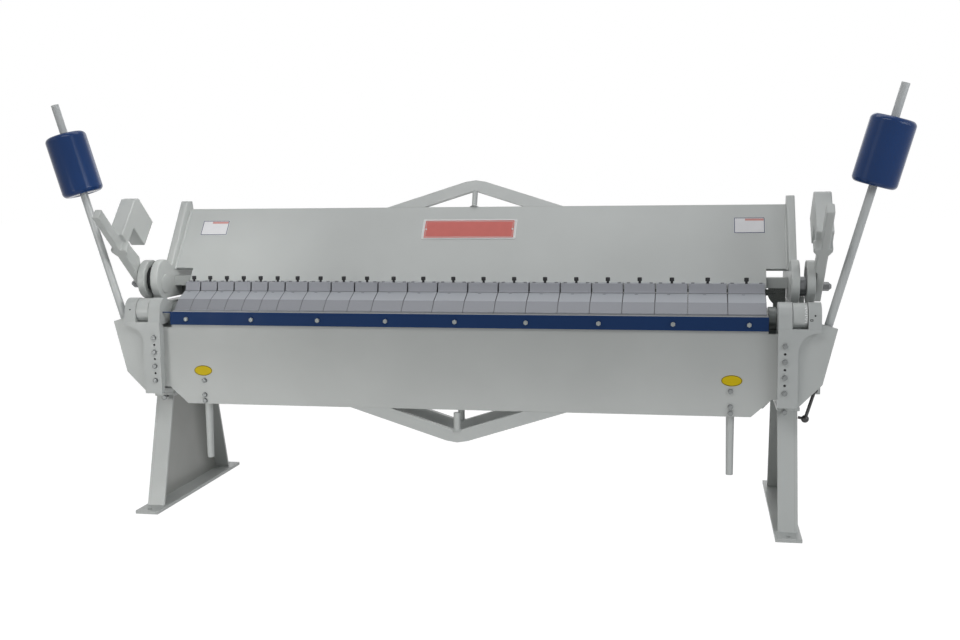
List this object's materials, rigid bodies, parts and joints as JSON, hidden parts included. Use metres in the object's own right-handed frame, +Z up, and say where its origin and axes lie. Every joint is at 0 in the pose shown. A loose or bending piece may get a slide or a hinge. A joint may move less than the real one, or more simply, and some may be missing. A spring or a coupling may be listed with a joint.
{
  "type": "box and pan brake",
  "caption": "Floor-standing box and pan sheet-metal brake with segmented clamp fingers on a hinged top leaf and a counterbalanced bending apron.",
  "frame": {"origin": "on the floor, at the centre of the four anchor holes in the feet", "axes": "+X along the bend line to the right-hand end, +Y to the rear, +Z up; the apron faces -Y"},
  "size_m": [3.4552, 0.9735, 1.7027],
  "materials": {
    "machine_paint": "semi-gloss, pale cool grey",
    "weight_paint": "gloss, blue",
    "blade_paint": "gloss, navy blue",
    "finger_steel": "ground and brushed",
    "machined_steel": "turned, satin",
    "bolt_zinc": "zinc plated, satin",
    "screw_black": "black oxide",
    "lever_black": "satin black"
  },
  "bodies": {
    "frame": {"leg_right": "machine_paint", "leg_left": "machine_paint", "end_housing_right": "machine_paint", "end_housing_left": "machine_paint", "bed_beam": "machine_paint", "bed_edge": "machined_steel", "leaf_adjusters": "machined_steel", "bed_truss": "machine_paint", "frame_bolts": "bolt_zinc", "frame_pins": "machined_steel", "stop_block": "machine_paint"},
    "apron": {"apron_plate": "machine_paint", "apron_blade": "blade_paint", "apron_bolts": "bolt_zinc", "wing_plate_right": "machine_paint", "wing_plate_left": "machine_paint", "counterweight_masts": "machine_paint", "hinge_bracket_right": "machine_paint", "hinge_bracket_left": "machine_paint", "hinge_pins": "machined_steel", "pull_handles": "machine_paint", "apron_truss": "machine_paint"},
    "weight_right": {"counterweight_right": "weight_paint"},
    "weight_left": {"counterweight_left": "weight_paint"},
    "top_leaf": {"leaf_plate": "machine_paint", "nose_bar": "machine_paint", "leaf_side_plate_right": "machine_paint", "leaf_side_plate_left": "machine_paint", "top_truss": "machine_paint", "finger_01": "finger_steel", "finger_02": "finger_steel", "finger_03": "finger_steel", "finger_04": "finger_steel", "finger_05": "finger_steel", "finger_06": "finger_steel", "finger_07": "finger_steel", "finger_08": "finger_steel", "finger_09": "finger_steel", "finger_10": "finger_steel", "finger_11": "finger_steel", "finger_12": "finger_steel", "finger_13": "finger_steel", "finger_14": "finger_steel", "finger_15": "finger_steel", "finger_16": "finger_steel", "finger_17": "finger_steel", "finger_18": "finger_steel", "finger_19": "finger_steel", "finger_20": "finger_steel", "finger_21": "finger_steel", "finger_22": "finger_steel", "finger_screws": "screw_black"},
    "lever_right": {"clamp_shaft_right": "machined_steel", "clamp_lever_right": "machine_paint"},
    "lever_left": {"clamp_shaft_left": "machined_steel", "clamp_lever_left": "machine_paint"},
    "link_right": {"clamp_link_right": "machine_paint"},
    "link_left": {"clamp_link_left": "machine_paint"},
    "stop": {"stop_lever": "lever_black"}
  },
  "joints": [
    {"name": "apron_swing", "type": "hinge", "parent": "frame", "child": "apron", "pos_m": [0, -0.28, 0.838], "axis": [-1, 0, 0], "range_deg": [0, 135]},
    {"name": "weight_slide_right", "type": "slide", "parent": "apron", "child": "weight_right", "axis": [0.2635, -0.0529, 0.9632], "range_m": [-0.15, 0.1]},
    {"name": "weight_slide_left", "type": "slide", "parent": "apron", "child": "weight_left", "axis": [-0.2635, -0.0529, 0.9632], "range_m": [-0.15, 0.1]},
    {"name": "leaf_lift", "type": "hinge", "parent": "frame", "child": "top_leaf", "pos_m": [0, 0.182, 0.906], "axis": [-1, 0, 0], "range_deg": [0, 3]},
    {"name": "lever_turn_left", "type": "hinge", "parent": "top_leaf", "child": "lever_left", "pos_m": [-1.4, -0.158, 0.942], "axis": [1, 0, 0], "range_deg": [-85, 0]},
    {"name": "lever_turn_right", "type": "hinge", "parent": "top_leaf", "child": "lever_right", "pos_m": [1.4, -0.158, 0.942], "axis": [1, 0, 0], "range_deg": [-85, 0]},
    {"name": "link_swing_left", "type": "hinge", "parent": "frame", "child": "link_left", "pos_m": [-1.384, -0.158, 0.6], "axis": [-1, 0, 0], "range_deg": [0, 4]},
    {"name": "link_swing_right", "type": "hinge", "parent": "frame", "child": "link_right", "pos_m": [1.384, -0.158, 0.6], "axis": [-1, 0, 0], "range_deg": [0, 4]},
    {"name": "stop_turn", "type": "hinge", "parent": "frame", "child": "stop", "pos_m": [1.4, -0.227, 0.545], "axis": [0, 1, 0], "range_deg": [-50, 0]}
  ],
  "couplings": [
    {"joint": "leaf_lift", "follows": "lever_turn_left", "ratio": -0.02953},
    {"joint": "lever_turn_right", "follows": "lever_turn_left", "ratio": 1},
    {"joint": "link_swing_left", "follows": "lever_turn_left", "ratio": -0.04342},
    {"joint": "link_swing_right", "follows": "lever_turn_left", "ratio": -0.04342}
  ]
}
